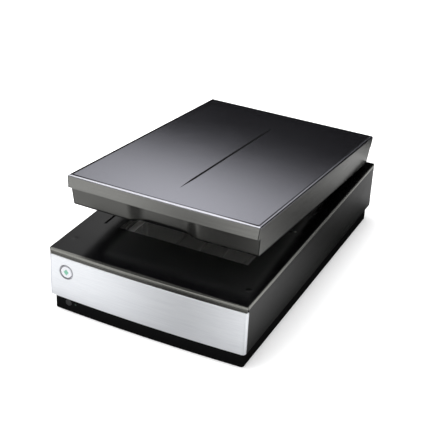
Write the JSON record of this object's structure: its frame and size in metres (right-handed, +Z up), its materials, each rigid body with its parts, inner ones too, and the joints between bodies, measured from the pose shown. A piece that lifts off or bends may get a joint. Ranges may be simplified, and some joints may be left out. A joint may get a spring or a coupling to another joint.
{
  "type": "film negative scanner",
  "caption": "Flatbed film scanner: glass bed with a belt-driven scan carriage, and a thick hinged cover with its own moving film lamp, standing a little open.",
  "frame": {"origin": "on the table, under the middle of the base", "axes": "+Z up, front (silver panel) towards -Y, hinges towards +Y, +X to the right seen from the front"},
  "size_m": [0.308, 0.503, 0.1995],
  "materials": {
    "skirt_black": "satin",
    "case_grey": "satin",
    "bed_black": "gloss",
    "glass": "gloss",
    "panel_silver": "satin",
    "trim_grey": "satin",
    "button_white": "gloss",
    "light_green": "gloss",
    "board_green": "satin",
    "rubber": "matte",
    "steel": "satin",
    "brass": "satin",
    "inner_white": "matte",
    "inner_black": "matte",
    "mirror": "gloss",
    "cover_grey": "satin",
    "cover_top": "satin",
    "mat_white": "matte"
  },
  "bodies": {
    "base": {"base_tray": "skirt_black", "base_case": "case_grey", "bed_rim": "case_grey", "bed_frame": "bed_black", "platen_glass": "glass", "front_panel": "panel_silver", "front_trim": "trim_grey", "start_button_ring": "trim_grey", "status_light": "light_green", "button_board": "board_green", "rubber_feet": "rubber", "case_screws": "steel", "guide_rod": "steel", "glide_rail": "steel", "motor_bracket": "steel", "drive_motor": "steel", "drive_belt": "rubber", "idler_bracket": "inner_black", "calibration_strip": "inner_white", "main_board": "board_green", "data_socket": "steel", "power_inlet": "inner_black", "cover_cable_socket": "inner_black", "hinge_sockets": "inner_black"},
    "start_button": {"start_button": "button_white"},
    "power_button": {"power_button": "skirt_black"},
    "motor_pinion": {"motor_pinion": "brass"},
    "drive_pulley": {"drive_pulley": "inner_white"},
    "idler_pulley": {"idler_pulley": "inner_white"},
    "carriage": {"carriage_tub": "inner_black", "lock_catch": "steel", "carriage_deck": "inner_black", "lamp_bars": "inner_white", "fold_mirrors": "mirror", "lens_barrels": "inner_black", "lens_holder": "inner_black", "sensor_board": "board_green", "carriage_bushings": "brass", "glide_pad": "inner_white", "belt_clamp": "inner_white"},
    "transport_lock": {"transport_lock": "inner_black"},
    "hinge_posts": {"hinge_posts": "inner_black", "hinge_pins": "steel"},
    "cover": {"hinge_leaves": "inner_black", "cover_shell": "cover_grey", "cover_top_panel": "cover_top", "cover_inner_frame": "inner_black", "cover_window": "glass", "cover_stops": "rubber", "film_lamp_rod": "steel", "film_lamp_rail": "inner_black", "film_belt": "rubber", "film_motor": "steel"},
    "document_mat": {"document_mat": "mat_white"},
    "film_lamp": {"film_lamp_housing": "inner_black", "film_lamp": "inner_white"},
    "film_drive_pulley": {"film_drive_pulley": "inner_white"},
    "film_idler_pulley": {"film_idler_pulley": "inner_white"}
  },
  "joints": [
    {"name": "hinge_lift", "type": "slide", "parent": "base", "child": "hinge_posts", "axis": [0, 0, 1], "range_m": [0, 0.055]},
    {"name": "cover_hinge", "type": "hinge", "parent": "hinge_posts", "child": "cover", "pos_m": [0, 0.235, 0.112], "axis": [-1, 0, 0], "range_deg": [-6, 74]},
    {"name": "start_button_press", "type": "slide", "parent": "base", "child": "start_button", "axis": [0, 1, 0], "range_m": [0, 0.0012], "stiffness_N_per_m": 600},
    {"name": "power_button_press", "type": "slide", "parent": "base", "child": "power_button", "axis": [0, 1, 0], "range_m": [0, 0.0012], "stiffness_N_per_m": 600},
    {"name": "carriage_slide", "type": "slide", "parent": "base", "child": "carriage", "axis": [0, -1, 0], "range_m": [0, 0.31]},
    {"name": "drive_pulley_turn", "type": "hinge", "parent": "base", "child": "drive_pulley", "pos_m": [-0.137, 0.195, 0.055], "axis": [0, 0, 1], "range_deg": [-2760, 5]},
    {"name": "idler_pulley_turn", "type": "hinge", "parent": "base", "child": "idler_pulley", "pos_m": [-0.137, -0.212, 0.055], "axis": [0, 0, 1], "range_deg": [-2760, 5]},
    {"name": "motor_pinion_turn", "type": "hinge", "parent": "base", "child": "motor_pinion", "pos_m": [-0.1226, 0.195, 0.047], "axis": [0, 0, 1], "range_deg": [-5, 8280]},
    {"name": "transport_lock_slide", "type": "slide", "parent": "base", "child": "transport_lock", "axis": [1, 0, 0], "range_m": [0, 0.01]},
    {"name": "mat_slide", "type": "slide", "parent": "cover", "child": "document_mat", "axis": [0, -0.9945, 0.1045], "range_m": [0, 0.012]},
    {"name": "film_lamp_slide", "type": "slide", "parent": "cover", "child": "film_lamp", "axis": [0, -0.9945, 0.1045], "range_m": [0, 0.27]},
    {"name": "film_drive_turn", "type": "hinge", "parent": "cover", "child": "film_drive_pulley", "pos_m": [-0.128, 0.206, 0.12309], "axis": [0, 0.1045, 0.9945], "range_deg": [-3110, 5]},
    {"name": "film_idler_turn", "type": "hinge", "parent": "cover", "child": "film_idler_pulley", "pos_m": [-0.128, -0.16695, 0.16229], "axis": [0, 0.1045, 0.9945], "range_deg": [-3110, 5]}
  ],
  "couplings": [
    {"joint": "drive_pulley_turn", "follows": "carriage_slide", "rad_per_m": -153.85},
    {"joint": "idler_pulley_turn", "follows": "carriage_slide", "rad_per_m": -153.85},
    {"joint": "motor_pinion_turn", "follows": "carriage_slide", "rad_per_m": 461.54},
    {"joint": "film_drive_turn", "follows": "film_lamp_slide", "rad_per_m": -200},
    {"joint": "film_idler_turn", "follows": "film_lamp_slide", "rad_per_m": -200}
  ]
}
